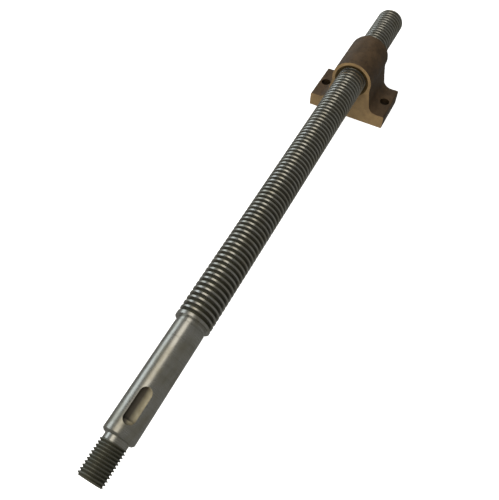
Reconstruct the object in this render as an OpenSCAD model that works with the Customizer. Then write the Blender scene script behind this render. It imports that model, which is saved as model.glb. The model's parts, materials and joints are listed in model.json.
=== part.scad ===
// Trapezoidal lead screw with its cast bracket nut.
// X runs along the screw towards its free end, and Z is up from the nut's mounting face.
// The origin is on that face, midway between the two bolt holes.

/* [Lead screw] */
// Outside diameter of the trapezoidal thread
thread_d = 32; // [28:1:36]
// Axial pitch of the trapezoidal thread
thread_pitch = 5; // [4:0.5:6]
// Number of ring grooves cut along the threaded length
groove_count = 93; // [80:1:93]
// Plain length before the first groove
first_land = 4.5; // [4:0.5:8]
// Plain length after the last groove
last_land = 5.5; // [3:0.5:6]
// Chamfer at the free end
free_chamfer = 2.5; // [1:0.5:3]
// How far the free end stands out behind the nut
stick_out = 71; // [20:0.5:100]

/* [Drive end] */
// Diameter of the plain journal
journal_d = 27; // [24:0.5:27.5]
// Length of the journal, up to the shoulder where the thread starts
journal_len = 101; // [80:0.5:120]
// Depth of the shallow relief against the shoulder
seat_relief_depth = 0.4; // [0.2:0.1:1]
// Width of the shallow relief against the shoulder
seat_relief_len = 4; // [2:0.5:6]
// Diameter of the groove between journal and end thread
relief_d = 20; // [16:0.5:21]
// Width of that groove
relief_len = 4.5; // [3:0.5:8]
// Outside diameter of the end thread
end_thread_d = 22; // [20:1:24]
// Axial pitch of the end thread
end_pitch = 2.5; // [1.5:0.5:3]
// Length of the end thread
end_thread_len = 28; // [20:0.5:40]
// Chamfer on the turned edges of the drive end
drive_chamfer = 1.5; // [0.5:0.5:2]

/* [Keyway] */
// Width of the keyway
keyway_w = 10; // [6:0.5:10]
// Depth of the keyway below the top of the journal
keyway_depth = 4.5; // [3:0.5:5]
// Length of the keyway over its round ends
keyway_len = 30; // [20:0.5:40]
// Distance from the journal's outer end to the keyway
keyway_start = 9; // [5:0.5:20]
// Angle that the keyway leans from straight up towards -Y
keyway_lean = 15; // [0:1:45]

/* [Bracket nut] */
// Height of the screw's axis over the mounting face
axis_height = 50.5; // [45:0.5:55]
// Length of the base along the screw
base_len = 53; // [45:1:58]
// Width of the base over both ears
base_width = 92; // [88:1:100]
// Thickness of the ears
ear_thick = 16.5; // [10:0.5:18]
// Radius of the ears' upright corners
corner_r = 2.5; // [1:0.5:4]
// Length of the barrel, from the machined face to its rear end
barrel_len = 58; // [58:1:80]
// Barrel radius at the machined face
barrel_front_r = 23; // [23:0.5:26]
// Barrel radius at its rear end
barrel_rear_r = 23; // [21:0.5:23]
// Rounding of the barrel's rear edge
barrel_round = 3; // [1:0.5:3]
// Half width of the web level with the screw's axis
web_half = 21.5; // [20:0.5:22.5]
// Slope of the web's sides away from upright, in degrees
web_draft = 10; // [5:1:12]
// Radius of the fillet between web and ear
web_fillet = 10; // [6:1:12]
// Countersink around the bore at the machined face
front_sink = 3.5; // [2:0.5:4]
// Countersink around the bore at the rear end
rear_sink = 1; // [0.5:0.5:2]
// Distance between the two bolt holes
bolt_spacing = 75; // [66:1:78]
// Diameter of the bolt holes
bolt_hole_d = 11; // [8:0.5:12]

/* [Hidden] */
$fn = 96;
overcut = 1;

// Running clearance around the screw, on the radius
bore_clearance = 0.1;

thread_r = thread_d / 2;
flank = tan(15);
thread_depth = thread_pitch / 2 + 0.25;
groove_top_half = thread_pitch / 4 + thread_pitch / 4 * flank;
groove_root_half = groove_top_half - thread_depth * flank;

end_r = end_thread_d / 2;
end_depth = 0.6134 * end_pitch;
end_top_half = end_pitch * 7 / 16;
end_root_half = end_top_half - end_depth * tan(30);
end_grooves = floor((end_thread_len - drive_chamfer) / end_pitch) - 1;

// Stations along the screw, measured from the shoulder where the thread starts
thread_len = first_land + (groove_count - 1) * thread_pitch + last_land;
journal_end = -journal_len;
relief_end = journal_end - relief_len;
drive_tip = relief_end - end_thread_len;
keyway_mid = journal_end + keyway_start + keyway_len / 2;

front_x = -base_len / 2;
rear_x = front_x + barrel_len;
shoulder_x = rear_x + stick_out - thread_len;

// Turns an outline drawn as [x, radius] into a solid of revolution along X
module turned(points) {
    rotate([0, 90, 0])
        rotate([0, 0, 180])
            rotate_extrude()
                rotate([0, 0, 90])
                    mirror([0, 1, 0])
                        polygon(points);
}

// The four corners of one ring groove
function groove(mid, top_half, root_half, top_r, depth) = [
    [mid - top_half, top_r],
    [mid - root_half, top_r - depth],
    [mid + root_half, top_r - depth],
    [mid + top_half, top_r],
];

end_thread_grooves = [
    for (i = [0 : end_grooves - 1])
        each groove(relief_end - (end_grooves - i) * end_pitch + end_pitch / 2,
                    end_top_half, end_root_half, end_r, end_depth)
];

main_thread_grooves = [
    for (i = [0 : groove_count - 1])
        each groove(first_land + i * thread_pitch,
                    groove_top_half, groove_root_half, thread_r, thread_depth)
];

screw_outline = concat(
    [[drive_tip, 0],
     [drive_tip, end_r - drive_chamfer],
     [drive_tip + drive_chamfer, end_r]],
    end_thread_grooves,
    [[relief_end, end_r],
     [relief_end, relief_d / 2],
     [journal_end, relief_d / 2],
     [journal_end, journal_d / 2 - drive_chamfer],
     [journal_end + drive_chamfer, journal_d / 2],
     [-seat_relief_len, journal_d / 2],
     [-seat_relief_len, journal_d / 2 - seat_relief_depth],
     [0, journal_d / 2 - seat_relief_depth],
     [0, thread_r]],
    main_thread_grooves,
    [[thread_len - free_chamfer, thread_r],
     [thread_len, thread_r - free_chamfer],
     [thread_len, 0]]
);

// A slot with round ends, cut down from above the journal
module keyway() {
    run = keyway_len - keyway_w;
    floor_z = journal_d / 2 - keyway_depth;
    rotate([keyway_lean, 0, 0])
        translate([keyway_mid, 0, floor_z]) {
            translate([-run / 2, -keyway_w / 2, 0])
                cube([run, keyway_w, keyway_depth + overcut]);
            for (side = [-1, 1])
                translate([side * run / 2, 0, 0])
                    cylinder(d = keyway_w, h = keyway_depth + overcut);
        }
}

module lead_screw() {
    color([0.36, 0.36, 0.32])
        translate([shoulder_x, 0, axis_height])
            difference() {
                turned(screw_outline);
                keyway();
            }
}

// The web's outline across the screw, with its fillets into the ears
module web_outline() {
    top = ear_thick;
    fillet_z = top + web_fillet;
    side_y = web_half + (axis_height - fillet_z) * tan(web_draft);
    fillet_y = side_y + web_fillet / cos(web_draft);
    touch_y = fillet_y - web_fillet * cos(web_draft);
    touch_z = fillet_z - web_fillet * sin(web_draft);
    polygon([[-web_half, axis_height],
             [-touch_y, touch_z],
             [-touch_y, top / 2],
             [touch_y, top / 2],
             [touch_y, touch_z],
             [web_half, axis_height]]);
    for (side = [-1, 1])
        difference() {
            polygon([[0, top / 2],
                     [side * fillet_y, top / 2],
                     [side * fillet_y, fillet_z],
                     [side * touch_y, touch_z],
                     [0, touch_z]]);
            translate([side * fillet_y, fillet_z])
                circle(r = web_fillet);
            translate([side * fillet_y - (side < 0 ? web_fillet : 0), top])
                square([web_fillet, web_fillet + overcut]);
        }
}

module base_plate() {
    square_len = base_len - 2 * corner_r;
    square_width = base_width - 2 * corner_r;
    linear_extrude(height = ear_thick) {
        square([base_len, square_width], center = true);
        square([square_len, base_width], center = true);
        for (x = [-1, 1], y = [-1, 1])
            translate([x * square_len / 2, y * square_width / 2])
                circle(r = corner_r);
    }
}

// The barrel around the screw, tapered for casting and rounded at the rear
module barrel() {
    arc_x = barrel_len - barrel_round;
    arc_r = barrel_rear_r - barrel_round;
    translate([front_x, 0, axis_height])
        turned(concat(
            [[0, 0], [0, barrel_front_r]],
            [for (a = [90 : -15 : 0])
                [arc_x + barrel_round * cos(a), arc_r + barrel_round * sin(a)]],
            [[barrel_len, 0]]
        ));
}

// The running bore with a countersink at each mouth
module screw_bore() {
    bore_r = thread_r + bore_clearance;
    translate([front_x, 0, axis_height])
        turned([[-overcut, 0],
                [-overcut, bore_r + front_sink],
                [0, bore_r + front_sink],
                [front_sink, bore_r],
                [barrel_len - rear_sink, bore_r],
                [barrel_len, bore_r + rear_sink],
                [barrel_len + overcut, bore_r + rear_sink],
                [barrel_len + overcut, 0]]);
}

module bracket_nut() {
    color([0.45, 0.36, 0.24])
        difference() {
            union() {
                base_plate();
                rotate([90, 0, 90])
                    linear_extrude(height = base_len, center = true)
                        web_outline();
                barrel();
            }
            screw_bore();
            for (side = [-1, 1])
                translate([0, side * bolt_spacing / 2, -overcut])
                    cylinder(d = bolt_hole_d, h = ear_thick + 2 * overcut);
        }
}

lead_screw();
bracket_nut();
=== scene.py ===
"""Looks of the lead screw and its bracket nut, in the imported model's frame, in metres."""
import json
import math

import bmesh
import bpy
from mathutils import Matrix, Vector


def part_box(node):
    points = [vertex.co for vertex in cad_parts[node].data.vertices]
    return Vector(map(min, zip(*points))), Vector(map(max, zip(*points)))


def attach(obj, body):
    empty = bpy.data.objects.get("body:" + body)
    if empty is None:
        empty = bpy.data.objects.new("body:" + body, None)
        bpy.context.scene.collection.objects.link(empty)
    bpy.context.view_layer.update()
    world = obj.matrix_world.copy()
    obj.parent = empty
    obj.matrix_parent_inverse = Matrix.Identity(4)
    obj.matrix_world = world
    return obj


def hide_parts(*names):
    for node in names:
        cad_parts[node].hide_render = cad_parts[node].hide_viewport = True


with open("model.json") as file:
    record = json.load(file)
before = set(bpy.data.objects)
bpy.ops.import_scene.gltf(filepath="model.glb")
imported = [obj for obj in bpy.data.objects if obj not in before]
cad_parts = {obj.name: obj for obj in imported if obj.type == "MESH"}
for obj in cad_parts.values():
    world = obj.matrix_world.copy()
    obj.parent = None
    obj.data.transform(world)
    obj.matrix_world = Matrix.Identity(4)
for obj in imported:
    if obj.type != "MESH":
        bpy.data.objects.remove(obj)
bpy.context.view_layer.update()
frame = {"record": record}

MM = 0.001
TURN = 2 * math.pi
SEGMENTS = 108

# ---------------------------------------------------------------- places taken from the frame

mounts = {m["name"]: m for m in frame["record"]["mounts"]}
screw_lo, screw_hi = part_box("lead_screw")
nut_lo, nut_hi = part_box("bracket_nut")

TIP_X = screw_lo[0]
FREE_X = screw_hi[0]
AXIS_Z = (screw_lo[2] + screw_hi[2]) / 2
THREAD_R = (screw_hi[2] - screw_lo[2]) / 2
JOURNAL_R = mounts["drive_journal"]["dims"]["r_mm"] * MM
JOURNAL_END_X = mounts["drive_journal"]["pos_m"][0] + mounts["drive_journal"]["dims"]["length_mm"] * MM / 2
END_R = mounts["end_thread"]["dims"]["r_mm"] * MM
END_LEN = mounts["end_thread"]["dims"]["length_mm"] * MM
FRONT_X = nut_lo[0]
REAR_X = nut_hi[0]
BASE_HALF = nut_hi[1]

# ---------------------------------------------------------------- sizes of the design

PITCH = 5 * MM
THREAD_DEPTH = 2.75 * MM
THREAD_FLANK = math.radians(15)
FIRST_LAND = 4.5 * MM
SEAT_RELIEF_LEN = 4 * MM
SEAT_RELIEF_DEPTH = 0.4 * MM
SEAT_RELIEF_R = JOURNAL_R - SEAT_RELIEF_DEPTH
SHOULDER_X = JOURNAL_END_X + SEAT_RELIEF_LEN
FREE_CHAMFER = 2.5 * MM
END_PITCH = 2.5 * MM
END_FLANK = math.radians(30)
DRIVE_CHAMFER = 1.5 * MM
RELIEF_X = TIP_X + END_LEN
RELIEF_LEN = 4.5 * MM
RELIEF_R = 10 * MM
JOURNAL_X = RELIEF_X + RELIEF_LEN
KEYWAY_LEN = mounts["keyway"]["dims"]["length_mm"] * MM
KEYWAY_W = 10 * MM
KEYWAY_DEPTH = 4.5 * MM
KEYWAY_SHALLOW = 4 * MM
KEYWAY_STEP = 1.8 * MM
BASE_LEN = 53 * MM
EAR_THICK = 16.5 * MM
WEB_HALF = 21.5 * MM
WEB_DRAFT = math.radians(10)
WEB_FILLET = 10 * MM
BARREL_R = 23 * MM
BARREL_ROUND = 3 * MM
FRONT_SINK = 3.5 * MM
REAR_SINK = 1 * MM
BORE_R = THREAD_R + 0.1 * MM
BOLT_R = mounts["base_bolts"]["dims"]["hole_r_mm"] * MM
BOLT_Y = mounts["base_bolts"]["dims"]["spacing_y_mm"] * MM / 2

# Metal that the casting has beyond its faces before they are machined
CAST_SPARE = 4 * MM

# The angle about X, counted from +Y, of the side that the first full groove faces
START_ANGLE = math.radians(108.24)

# Where the first groove starts and where it is fully deep, in turns from the first full groove
RUN_IN = (-0.62, -0.22)


# ---------------------------------------------------------------- camera

def make_camera():
    """From beyond the drive end, above and to one side of the screw."""
    data = bpy.data.cameras.new("camera")
    data.sensor_width = 36
    data.lens = 38.36
    data.clip_start = 0.01
    camera = bpy.data.objects.new("camera", data)
    side = Vector((0.4705, -0.8824, 0.0036)).normalized()
    back = Vector((-0.4928, -0.2594, 0.8306)).normalized()
    top = back.cross(side).normalized()
    side = top.cross(back)
    place = Matrix((side, top, back)).transposed().to_4x4()
    place.translation = Vector((-0.5130, -0.1286, 0.4407))
    camera.matrix_world = place
    bpy.context.collection.objects.link(camera)
    bpy.context.scene.camera = camera


# ---------------------------------------------------------------- threads

class Thread:
    """A helical groove. Place m is counted in turns along the helix, from its first full groove."""

    def __init__(self, x, pitch, hand, crest_r, depth, top_half, root_half, grow=0.0, run_in=None):
        self.x = x
        self.pitch = pitch
        self.hand = hand
        self.crest_r = crest_r + grow
        self.depth = depth
        self.top_half = top_half + grow
        self.root_half = root_half + grow
        self.run_in = run_in
        self.edge = min(0.16 * MM, (pitch / 2 - top_half) * 0.6)

    def shift(self, angle):
        return self.hand * (angle - START_ANGLE) / TURN

    def fullness(self, m):
        """How much of its depth the groove has at place m, from 0 to 1."""
        if self.run_in is None:
            return 1.0
        start, end = self.run_in
        t = min(max((m - start) / (end - start), 0.0), 1.0)
        return t * t * (3 - 2 * t)

    def corners(self, m):
        """The groove's outline at place m, as (x, radius) pairs."""
        full = self.fullness(m)
        depth = self.depth * full
        top_half = self.root_half + (self.top_half - self.root_half) * full
        edge = self.edge * full
        slope = (self.top_half - self.root_half) / self.depth
        mid = self.x + m * self.pitch
        half = [
            (top_half + edge, 0.0),
            (top_half - edge * slope, edge),
            (self.root_half + edge, depth - edge * 0.3),
            (self.root_half - edge, depth),
        ]
        left = [(mid - w, self.crest_r - d) for w, d in half]
        right = [(mid + w, self.crest_r - d) for w, d in reversed(half)]
        return left + right

    def radius(self, x, angle):
        """The surface's radius at a point."""
        shift = self.shift(angle)
        n = round((x - self.x) / self.pitch - shift)
        outline = self.corners(n + shift)
        for (x0, r0), (x1, r1) in zip(outline, outline[1:]):
            if x0 <= x <= x1 and x1 > x0:
                return r0 + (r1 - r0) * (x - x0) / (x1 - x0)
        return self.crest_r

    def stretch(self, start, end, angle):
        """The outline from start to end at one angle. Grooves past an end fold onto it."""
        shift = self.shift(angle)
        first = math.floor((start - self.x) / self.pitch) - 2
        last = math.ceil((end - self.x) / self.pitch) + 2
        ends = {side: (side, self.radius(side, angle)) for side in (start, end)}
        points = [ends[start]]
        for n in range(first, last + 1):
            for x, r in self.corners(n + shift):
                points.append(ends[start] if x < start else ends[end] if x > end else (x, r))
        points.append(ends[end])
        return points

    def cut_stretch(self, start, end, angle, cut, step=0.12 * MM):
        """The outline from start to end, in even steps, with cut(x, radius) applied."""
        count = max(2, round(abs(end - start) / step))
        xs = [start + (end - start) * i / count for i in range(count + 1)]
        return [(x, cut(x, self.radius(x, angle))) for x in xs]


def trapezoid_thread(grow=0.0, run_in=None):
    """The left-hand thread of the screw, or of the bore when it is grown by the running gap."""
    slope = math.tan(THREAD_FLANK)
    top_half = PITCH / 4 * (1 + slope)
    root_half = top_half - THREAD_DEPTH * slope
    return Thread(SHOULDER_X + FIRST_LAND, PITCH, -1, THREAD_R, THREAD_DEPTH, top_half, root_half, grow, run_in)


def end_thread():
    """The fine metric thread at the drive end."""
    depth = 0.6134 * END_PITCH
    top_half = END_PITCH * 7 / 16
    root_half = top_half - depth * math.tan(END_FLANK)
    return Thread(TIP_X + END_PITCH / 2, END_PITCH, 1, END_R, depth, top_half, root_half)


# ---------------------------------------------------------------- mesh helpers

def add_object(name, mesh):
    obj = bpy.data.objects.new(name, mesh)
    bpy.context.collection.objects.link(obj)
    return obj


def turned_object(name, outline_at, segments=SEGMENTS):
    """A body round the screw's axis. outline_at(angle) lists its (x, radius) pairs, equally many at every angle."""
    verts = []
    for i in range(segments + 1):
        angle = TURN * i / segments
        c, s = math.cos(angle), math.sin(angle)
        verts += [(x, r * c, AXIS_Z + r * s) for x, r in outline_at(angle)]
    rows = len(verts) // (segments + 1)
    faces = [
        (i * rows + j, i * rows + j + 1, (i + 1) * rows + j + 1, (i + 1) * rows + j)
        for i in range(segments)
        for j in range(rows - 1)
    ]
    mesh = bpy.data.meshes.new(name)
    mesh.from_pydata(verts, [], faces)
    work = bmesh.new()
    work.from_mesh(mesh)
    bmesh.ops.remove_doubles(work, verts=work.verts, dist=3e-7)
    bmesh.ops.recalc_face_normals(work, faces=work.faces)
    work.to_mesh(mesh)
    work.free()
    return add_object(name, mesh)


def prism_object(name, outline, place, low, high):
    """A closed prism. place(u, v, h) turns outline coordinates and a height into a point."""
    count = len(outline)
    verts = [place(u, v, h) for h in (low, high) for u, v in outline]
    faces = [(i, (i + 1) % count, count + (i + 1) % count, count + i) for i in range(count)]
    faces += [tuple(range(count))[::-1], tuple(range(count, 2 * count))]
    mesh = bpy.data.meshes.new(name)
    mesh.from_pydata(verts, [], faces)
    work = bmesh.new()
    work.from_mesh(mesh)
    bmesh.ops.recalc_face_normals(work, faces=work.faces)
    work.to_mesh(mesh)
    work.free()
    return add_object(name, mesh)


def arc(u, v, radius, start, end, steps):
    """Points along an arc, with angles in degrees."""
    angles = [math.radians(start + (end - start) * i / steps) for i in range(steps + 1)]
    return [(u + radius * math.cos(a), v + radius * math.sin(a)) for a in angles]


def bake(obj):
    """Applies an object's modifiers."""
    shape = bpy.data.meshes.new_from_object(obj.evaluated_get(bpy.context.evaluated_depsgraph_get()))
    obj.modifiers.clear()
    obj.data = shape


def cut(obj, *cutters):
    """Takes the cutters' shapes away from an object, and removes the cutters."""
    for cutter in cutters:
        step = obj.modifiers.new("cut", "BOOLEAN")
        step.operation = "DIFFERENCE"
        step.solver = "MANIFOLD"
        step.object = cutter
    bake(obj)
    for cutter in cutters:
        bpy.data.objects.remove(cutter)


def shade(obj, degrees=35):
    """Smooth shading that keeps edges sharper than the given angle."""
    obj.data.shade_smooth()
    obj.data.set_sharp_from_angle(angle=math.radians(degrees))


# ---------------------------------------------------------------- node helpers

class Nodes:
    """A short way to write a material's nodes."""

    def __init__(self, name):
        self.material = bpy.data.materials.new(name)
        self.material.use_nodes = True
        self.tree = self.material.node_tree
        self.shader = self.tree.nodes["Principled BSDF"]

    def add(self, kind, inputs=None, **settings):
        node = self.tree.nodes.new(kind)
        for key, value in settings.items():
            setattr(node, key, value)
        for key, value in (inputs or {}).items():
            self.put(node.inputs[key], value)
        return node

    def put(self, socket, value):
        if isinstance(value, bpy.types.NodeSocket):
            self.tree.links.new(value, socket)
        else:
            socket.default_value = value

    def math(self, operation, a, b=0.0, clamp=False):
        return self.add("ShaderNodeMath", {0: a, 1: b}, operation=operation, use_clamp=clamp).outputs[0]

    def ramp(self, value, low, high, to_low=0.0, to_high=1.0):
        inputs = {"Value": value, "From Min": low, "From Max": high, "To Min": to_low, "To Max": to_high}
        return self.add("ShaderNodeMapRange", inputs).outputs["Result"]

    def noise(self, vector, scale, detail=3.0, roughness=0.55):
        inputs = {"Vector": vector, "Scale": scale, "Detail": detail, "Roughness": roughness}
        return self.add("ShaderNodeTexNoise", inputs).outputs["Fac"]

    def mix(self, amount, a, b, blend="MIX"):
        node = self.add("ShaderNodeMix", data_type="RGBA", blend_type=blend)
        self.put(node.inputs["Factor"], amount)
        self.put(node.inputs["A"], a)
        self.put(node.inputs["B"], b)
        return node.outputs["Result"]

    def place(self):
        return self.add("ShaderNodeTexCoord").outputs["Object"]

    def stretched(self, vector, scale):
        return self.add("ShaderNodeMapping", {"Vector": vector, "Scale": scale}).outputs["Vector"]

    def axis_distance(self, vector):
        """Distance from the screw's axis."""
        parts = self.add("ShaderNodeSeparateXYZ", {0: vector})
        up = self.math("SUBTRACT", parts.outputs["Z"], AXIS_Z)
        squares = [self.math("MULTIPLY", v, v) for v in (parts.outputs["Y"], up)]
        return self.math("SQRT", self.math("ADD", *squares))

    def bump(self, height, distance, strength=1.0, under=None):
        inputs = {"Height": height, "Distance": distance, "Strength": strength}
        if under is not None:
            inputs["Normal"] = under
        return self.add("ShaderNodeBump", inputs).outputs["Normal"]


# ---------------------------------------------------------------- materials

def turned_steel(name, tint, root_dirt_shade_r, crest_clean_lit_r):
    """Oiled turned steel: fine rings from the tool, stains, and dirt with painted shade that fills the thread's roots.
    """
    n = Nodes(name)
    place = n.place()
    distance = n.axis_distance(place)
    rings = n.noise(n.stretched(place, (9000, 60, 60)), 1.0, 2.0, 0.6)
    belts = n.noise(n.stretched(place, (260, 8, 8)), 1.0, 4.0, 0.6)
    patches = n.noise(n.stretched(place, (60, 120, 120)), 1.0, 5.0, 0.65)
    speckle = n.noise(place, 1400, 3.0, 0.7)
    # Dirt and painted shade: the colour goes dark brown towards the thread's roots.
    clean_lit = n.ramp(distance, root_dirt_shade_r, crest_clean_lit_r)
    worn = n.mix(n.ramp(patches, 0.42, 0.68), tint, (tint[0] * 0.80, tint[1] * 0.77, tint[2] * 0.68, 1))
    worn = n.mix(n.ramp(belts, 0.52, 0.72, 0.0, 0.4), worn, (tint[0] * 0.5, tint[1] * 0.5, tint[2] * 0.46, 1))
    worn = n.mix(n.ramp(speckle, 0.55, 0.8, 0.0, 0.5), worn, (tint[0] * 0.45, tint[1] * 0.42, tint[2] * 0.36, 1))
    # The roots' dark brown is dirt and painted shade.
    n.put(n.shader.inputs["Base Color"], n.mix(clean_lit, (0.095, 0.092, 0.062, 1), worn))
    n.put(n.shader.inputs["Metallic"], n.ramp(clean_lit, 0, 1, 0.7, 1.0))
    dull = n.math("ADD", n.ramp(rings, 0.3, 0.7, 0.20, 0.30), n.ramp(patches, 0.35, 0.7, 0.0, 0.08))
    n.put(n.shader.inputs["Roughness"], n.math("ADD", dull, n.ramp(clean_lit, 0, 1, 0.3, 0.0)))
    fine = n.bump(rings, 0.02 * MM, 0.6)
    n.put(n.shader.inputs["Normal"], n.bump(speckle, 0.012 * MM, 0.5, fine))
    return n.material


def milled_steel():
    """The keyway's floor and walls: dull and tan, and darker towards +Y with a painted shadow of the +Y wall, where the
    photo is dark.
    """
    n = Nodes("milled_steel")
    place = n.place()
    middle_y = mounts["keyway"]["pos_m"][1]
    parts = n.add("ShaderNodeSeparateXYZ", {0: place})
    # Painted shadow of the +Y wall: the floor's colour darkens towards +Y.
    wall_shadow = n.ramp(parts.outputs["Y"], middle_y - 2.4 * MM, middle_y + 2.2 * MM)
    strokes = n.noise(n.stretched(place, (300, 1800, 1800)), 1.0, 3.0, 0.6)
    stains = n.noise(place, 260, 4.0, 0.6)
    base = n.mix(n.ramp(stains, 0.4, 0.65), (0.46, 0.42, 0.30, 1), (0.34, 0.30, 0.20, 1))
    # The near black towards +Y is the painted shadow.
    n.put(n.shader.inputs["Base Color"], n.mix(wall_shadow, base, (0.055, 0.047, 0.034, 1)))
    n.put(n.shader.inputs["Metallic"], 0.25)
    n.put(n.shader.inputs["Roughness"], n.ramp(strokes, 0.3, 0.7, 0.48, 0.62))
    n.put(n.shader.inputs["Normal"], n.bump(strokes, 0.03 * MM, 0.6))
    return n.material


def cast_bronze():
    """The as-cast skin: brown, slightly grainy and oily."""
    n = Nodes("cast_bronze_skin")
    place = n.place()
    broad = n.noise(place, 70, 5.0, 0.65)
    grain = n.noise(place, 420, 5.0, 0.7)
    pits = n.noise(place, 1500, 2.0, 0.5)
    base = n.mix(n.ramp(broad, 0.35, 0.65), (0.058, 0.036, 0.018, 1), (0.112, 0.070, 0.036, 1))
    base = n.mix(n.ramp(grain, 0.5, 0.75, 0.0, 0.55), base, (0.17, 0.11, 0.055, 1))
    n.put(n.shader.inputs["Base Color"], base)
    n.put(n.shader.inputs["Metallic"], 0.35)
    n.put(n.shader.inputs["Roughness"], n.ramp(grain, 0.3, 0.7, 0.48, 0.66))
    coarse = n.bump(grain, 0.16 * MM, 0.7)
    n.put(n.shader.inputs["Normal"], n.bump(pits, 0.05 * MM, 0.5, coarse))
    return n.material


def machined_bronze():
    """A faced surface: tan gold with fine tool rings round the bore."""
    n = Nodes("machined_bronze")
    place = n.place()
    distance = n.axis_distance(place)
    rings = n.math("SINE", n.math("MULTIPLY", distance, TURN / (0.45 * MM)))
    stains = n.noise(place, 70, 5.0, 0.65)
    fine = n.noise(place, 900, 3.0, 0.6)
    base = n.mix(n.ramp(stains, 0.4, 0.62), (0.40, 0.27, 0.13, 1), (0.30, 0.20, 0.10, 1))
    base = n.mix(n.ramp(fine, 0.5, 0.8, 0.0, 0.4), base, (0.2, 0.135, 0.07, 1))
    n.put(n.shader.inputs["Base Color"], base)
    n.put(n.shader.inputs["Metallic"], 0.3)
    n.put(n.shader.inputs["Roughness"], n.ramp(stains, 0.35, 0.65, 0.36, 0.5))
    n.put(n.shader.inputs["Normal"], n.bump(rings, 0.01 * MM, 0.5))
    return n.material


def oily_shaded_bronze(name, low, high):
    """Bronze that is brown and wet with old oil, and darkened with painted shade, between two colours."""
    n = Nodes(name)
    place = n.place()
    film = n.noise(place, 160, 4.0, 0.6)
    n.put(n.shader.inputs["Base Color"], n.mix(film, low, high))
    n.put(n.shader.inputs["Metallic"], 0.4)
    n.put(n.shader.inputs["Roughness"], n.ramp(film, 0.3, 0.7, 0.32, 0.5))
    n.put(n.shader.inputs["Normal"], n.bump(film, 0.05 * MM, 0.4))
    return n.material


def pale_floor():
    """Near white and matt, with a glow of its own."""
    n = Nodes("pale_floor")
    shade_of = n.noise(n.place(), 3, 2.0, 0.5)
    n.put(n.shader.inputs["Base Color"], n.mix(shade_of, (0.82, 0.82, 0.82, 1), (0.84, 0.84, 0.84, 1)))
    n.put(n.shader.inputs["Roughness"], 0.9)
    n.put(n.shader.inputs["Emission Color"], (1, 1, 1, 1))
    n.put(n.shader.inputs["Emission Strength"], 0.9)
    return n.material


# ---------------------------------------------------------------- lead screw

def screw_outline_at(angle):
    """The screw's whole outline at one angle, from the drive end's centre to the free end's."""
    small = end_thread()
    main = trapezoid_thread(run_in=RUN_IN)
    tip_end = TIP_X + DRIVE_CHAMFER * 1.2
    free_start = FREE_X - FREE_CHAMFER * 1.2
    root = END_R - DRIVE_CHAMFER
    points = [(TIP_X + 4 * MM, 0.0), (TIP_X, 2.6 * MM), (TIP_X, 6 * MM)]
    points += small.cut_stretch(TIP_X, tip_end, angle, lambda x, r: min(r, root + x - TIP_X))
    points += small.stretch(tip_end, RELIEF_X, angle)
    points += [
        (RELIEF_X, RELIEF_R),
        (RELIEF_X + 0.3 * MM, RELIEF_R),
        (JOURNAL_X - 0.6 * MM, RELIEF_R),
        (JOURNAL_X - 0.2 * MM, RELIEF_R + 0.15 * MM),
        (JOURNAL_X, RELIEF_R + 0.5 * MM),
        (JOURNAL_X, JOURNAL_R - DRIVE_CHAMFER),
        (JOURNAL_X + DRIVE_CHAMFER * 0.9, JOURNAL_R - 0.12 * MM),
        (JOURNAL_X + DRIVE_CHAMFER * 1.15, JOURNAL_R),
    ]
    edge = 0.15 * MM
    points += [
        (JOURNAL_END_X - edge, JOURNAL_R),
        (JOURNAL_END_X + edge * 2, SEAT_RELIEF_R),
        (SHOULDER_X - edge * 2, SEAT_RELIEF_R),
        (SHOULDER_X, SEAT_RELIEF_R + edge * 2),
        (SHOULDER_X, THREAD_R - 0.5 * MM),
    ]
    lead = SHOULDER_X + 0.4 * MM
    lip = THREAD_R - 0.4 * MM
    points += main.cut_stretch(SHOULDER_X, lead, angle, lambda x, r: min(r, lip + x - SHOULDER_X))
    points += main.stretch(lead, free_start, angle)
    lip = THREAD_R - FREE_CHAMFER
    points += main.cut_stretch(free_start, FREE_X, angle, lambda x, r: min(r, lip + FREE_X - x))
    points += [(FREE_X, 8 * MM), (FREE_X, 3 * MM), (FREE_X - 4.6 * MM, 0.0)]
    return points


def keyway_cutters():
    """The slot, and at its drive end a shallow step with a floor curved like the journal."""
    seat = mounts["keyway"]
    mouth = Vector(seat["pos_m"])
    up = Vector(seat["axis"]).normalized()
    along = Vector((1, 0, 0))
    across = up.cross(along)

    def place(u, v, h):
        return mouth + along * u + across * v + up * h

    half = KEYWAY_W / 2
    step_half = half - 0.02 * MM
    above = 3 * MM
    run = KEYWAY_LEN / 2 - half
    start = KEYWAY_SHALLOW - KEYWAY_LEN / 2
    slot = [(start - 0.6 * MM, -half + 1 * MM), (start, -half)]
    slot += arc(run, 0, half, -90, 90, 20)
    slot += [(start, half), (start - 0.6 * MM, half - 1 * MM)]
    step_end = start + 1.5 * MM
    shallow = [(step_end, step_half)]
    shallow += arc(-run, 0, step_half, 90, 270, 20)
    shallow += [(step_end, -step_half)]
    core_r = JOURNAL_R - KEYWAY_STEP
    core_end = -0.4
    core = turned_object("core", lambda angle: [(JOURNAL_X, 0), (JOURNAL_X, core_r), (core_end, core_r), (core_end, 0)])
    end_cutter = prism_object("end_cutter", shallow, place, -KEYWAY_DEPTH, above)
    cut(end_cutter, core)
    return prism_object("slot_cutter", slot, place, -KEYWAY_DEPTH, above), end_cutter


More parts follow.
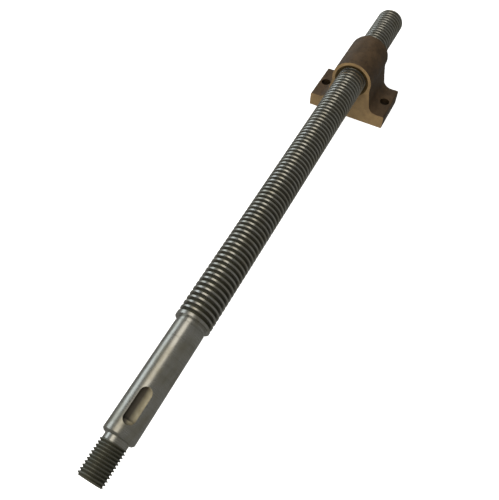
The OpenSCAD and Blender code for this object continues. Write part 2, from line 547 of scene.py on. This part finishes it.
def paint_screw(screw):
    """Dirt and painted shade only in the thread, bare steel on the drive end, and a dull milled finish with a painted
    wall shadow in the keyway.
    """
    tint = (0.50, 0.49, 0.45, 1)
    screw.data.materials.clear()
    screw.data.materials.append(turned_steel("turned_steel", tint, THREAD_R - 2.6 * MM, THREAD_R - 0.6 * MM))
    screw.data.materials.append(turned_steel("turned_steel_plain", tint, 0.0, 0.001))
    # The end thread has a darker tint, and dirt and painted shade over its whole flanks.
    screw.data.materials.append(turned_steel("turned_steel_end", (0.34, 0.34, 0.29, 1), END_R - 1.5 * MM, END_R))
    screw.data.materials.append(milled_steel())
    threaded, plain, end_threaded, milled = range(4)
    keyway_x = mounts["keyway"]["pos_m"][0]
    for face in screw.data.polygons:
        c = face.center
        from_axis = math.hypot(c.y, c.z - AXIS_Z)
        in_slot = abs(c.x - keyway_x) < KEYWAY_LEN / 2 + 0.1 * MM
        if c.x > SHOULDER_X + 0.1 * MM:
            face.material_index = threaded
        elif in_slot and from_axis < JOURNAL_R - 0.04 * MM:
            face.material_index = milled
        elif c.x < RELIEF_X:
            face.material_index = end_threaded
        else:
            face.material_index = plain


def make_lead_screw():
    screw = turned_object("lead_screw_turned", screw_outline_at)
    cut(screw, *keyway_cutters())
    shade(screw, 28)
    paint_screw(screw)
    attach(screw, "screw")
    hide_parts("lead_screw")


# ---------------------------------------------------------------- bracket nut

def bracket_outline():
    """Base, fillets and web, drawn across the screw as (y, z)."""
    fillet_z = EAR_THICK + WEB_FILLET
    side_y = WEB_HALF + (AXIS_Z - fillet_z) * math.tan(WEB_DRAFT)
    fillet_y = side_y + WEB_FILLET / math.cos(WEB_DRAFT)
    tilt = math.degrees(WEB_DRAFT)
    right = [(BASE_HALF, -CAST_SPARE), (BASE_HALF, EAR_THICK)]
    right += arc(fillet_y, fillet_z, WEB_FILLET, 270, 180 + tilt, 12)
    right += [(WEB_HALF, AXIS_Z)]
    return right + [(-y, z) for y, z in reversed(right)]


def barrel_outline(angle):
    """The barrel as cast, which is the same at every angle."""
    round_x, round_r = REAR_X - BARREL_ROUND, BARREL_R - BARREL_ROUND
    points = [(FRONT_X - CAST_SPARE, 0), (FRONT_X - CAST_SPARE, BARREL_R)]
    points += arc(round_x, round_r, BARREL_ROUND, 90, 0, 8)
    return points + [(REAR_X, 0)]


def bore_outline_at(angle):
    """The space that the screw runs in: its own thread a little larger, flared at both mouths."""
    spare = 2 * MM
    gap = 0.14 * MM
    thread = trapezoid_thread(grow=gap)
    front_end = FRONT_X + FRONT_SINK + 0.6 * MM
    rear_start = REAR_X - REAR_SINK - 3.6 * MM
    front_r = BORE_R + FRONT_SINK
    points = [(FRONT_X - spare, 0), (FRONT_X - spare, front_r), (FRONT_X, front_r)]
    points += thread.cut_stretch(FRONT_X, front_end, angle, lambda x, r: max(r, front_r + FRONT_X - x), 0.2 * MM)
    points += thread.stretch(front_end, rear_start, angle)
    rear_r = BORE_R + REAR_SINK
    points += thread.cut_stretch(rear_start, REAR_X, angle, lambda x, r: max(r, rear_r + x - REAR_X), 0.2 * MM)
    return points + [(REAR_X, rear_r), (REAR_X + spare, rear_r), (REAR_X + spare, 0)]


def box_cutter(name, low, high):
    corners = [(low[0], low[1]), (high[0], low[1]), (high[0], high[1]), (low[0], high[1])]
    return prism_object(name, corners, lambda u, v, h: (u, v, h), low[2], high[2])


def make_casting():
    """The casting before machining: its parts melted together, with soft edges and a grainy skin."""
    front = FRONT_X - CAST_SPARE
    back = FRONT_X + BASE_LEN
    bracket = prism_object("bracket_nut_cast", bracket_outline(), lambda u, v, h: (h, u, v), front, back)
    barrel = turned_object("barrel", barrel_outline, 96)
    work = bmesh.new()
    work.from_mesh(bracket.data)
    work.from_mesh(barrel.data)
    work.to_mesh(bracket.data)
    work.free()
    bpy.data.objects.remove(barrel)
    melt = bracket.modifiers.new("melt", "REMESH")
    melt.mode = "VOXEL"
    melt.voxel_size = 0.8 * MM
    soften = bracket.modifiers.new("soften", "SMOOTH")
    soften.iterations = 12
    soften.factor = 0.5
    skin = bpy.data.textures.new("casting_skin", "CLOUDS")
    skin.noise_scale = 6 * MM
    skin.noise_depth = 2
    rough = bracket.modifiers.new("rough", "DISPLACE")
    rough.texture = skin
    rough.texture_coords = "LOCAL"
    rough.strength = 0.35 * MM
    rough.mid_level = 0.75
    bake(bracket)
    return bracket


def machine_casting(nut):
    """Faces the front and the base, threads the bore and drills the ears."""
    far = 0.2
    face = box_cutter("face_cutter", (FRONT_X - far, -far, -far), (FRONT_X, far, far))
    seat = box_cutter("seat_cutter", (-far, -far, -far), (far, far, 0.0))
    bore = turned_object("bore_cutter", bore_outline_at, 96)
    holes = []
    for side in (-1, 1):
        ring = arc(0, side * BOLT_Y, BOLT_R, 0, 352.5, 47)
        holes.append(prism_object("hole_cutter", ring, lambda u, v, h: (u, v, h), -5 * MM, 30 * MM))
    cut(nut, face, seat, bore, *holes)


def paint_casting(nut):
    """Gives the faced surfaces, the bore and the holes their own materials."""
    nut.data.materials.clear()
    nut.data.materials.append(cast_bronze())
    nut.data.materials.append(machined_bronze())
    # The bore's mouth: old oil and painted shade.
    nut.data.materials.append(oily_shaded_bronze("bore_bronze", (0.075, 0.05, 0.02, 1), (0.20, 0.14, 0.06, 1)))
    # The bolt holes: near black, a painted shade inside them.
    nut.data.materials.append(oily_shaded_bronze("hole_bronze", (0.025, 0.015, 0.008, 1), (0.06, 0.038, 0.018, 1)))
    faced, bored, drilled = 1, 2, 3
    for face in nut.data.polygons:
        c = face.center
        from_axis = math.hypot(c.y, c.z - AXIS_Z)
        in_hole = math.hypot(c.x, abs(c.y) - BOLT_Y) < BOLT_R + 0.02 * MM
        if c.x < FRONT_X + 0.02 * MM or c.z < 0.02 * MM:
            face.material_index = faced
        elif in_hole:
            face.material_index = drilled
        elif from_axis < BORE_R + FRONT_SINK - 0.05 * MM:
            face.material_index = bored


def make_bracket_nut():
    nut = make_casting()
    machine_casting(nut)
    paint_casting(nut)
    shade(nut, 40)
    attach(nut, "nut")
    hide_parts("bracket_nut")


# ---------------------------------------------------------------- studio

def make_backdrop():
    """A plain pale floor inside a dome of the same colour. They don't light or mirror in the object."""
    radius = 6.0
    around = 48
    low = -0.3 * MM
    verts = [(0.0, 0.0, low)]
    lifts = (0, 15, 30, 45, 60, 75, 89)
    rings = len(lifts) - 1
    for lift in lifts:
        r, z = radius * math.cos(math.radians(lift)), radius * math.sin(math.radians(lift))
        verts += [(r * math.cos(TURN * i / around), r * math.sin(TURN * i / around), low + z) for i in range(around)]
    faces = [(0, 1 + i, 1 + (i + 1) % around) for i in range(around)]
    for ring in range(rings):
        a, b = 1 + ring * around, 1 + (ring + 1) * around
        faces += [(a + i, a + (i + 1) % around, b + (i + 1) % around, b + i) for i in range(around)]
    faces.append(tuple(range(1 + rings * around, 1 + (rings + 1) * around)))
    mesh = bpy.data.meshes.new("backdrop")
    mesh.from_pydata(verts, [], faces)
    backdrop = add_object("backdrop", mesh)
    backdrop.data.materials.append(pale_floor())
    backdrop.visible_glossy = False
    backdrop.visible_diffuse = False
    backdrop.visible_shadow = False


def make_light(name, direction, distance, size, power, colour, target=(-0.15, 0, 0.04)):
    """A soft panel, distance away from the target along direction, facing it."""
    data = bpy.data.lights.new(name, "AREA")
    data.shape = "RECTANGLE"
    data.size, data.size_y = size
    data.energy = power
    data.color = colour
    light = bpy.data.objects.new(name, data)
    away = Vector(direction).normalized()
    light.location = Vector(target) + away * distance
    light.rotation_mode = "QUATERNION"
    light.rotation_quaternion = away.to_track_quat("Z", "Y")
    bpy.context.collection.objects.link(light)
    return light


def make_room():
    """An even grey from all round."""
    world = bpy.data.worlds.new("studio")
    bpy.context.scene.world = world
    world.use_nodes = True
    world.node_tree.nodes["Background"].inputs["Color"].default_value = (0.2, 0.2, 0.19, 1)


def make_studio():
    """A plain room with three soft panels. The first two run along the screw."""
    make_backdrop()
    make_room()
    make_light("window", (0, 0.96, 0.28), 1.3, (3.2, 0.6), 8, (0.82, 0.92, 1.0), (0.3, 0, 0.04))
    make_light("ceiling", (0, 0.30, 0.95), 1.3, (3.2, 0.7), 8, (1.0, 0.95, 0.85), (0.3, 0, 0.04))
    front = make_light("front", (-0.86, -0.06, 0.50), 1.8, (1.5, 1.8), 30, (1.0, 0.95, 0.88))
    front.visible_glossy = False


make_camera()
make_studio()
make_lead_screw()
make_bracket_nut()
bpy.context.scene.view_settings.view_transform = "Standard"
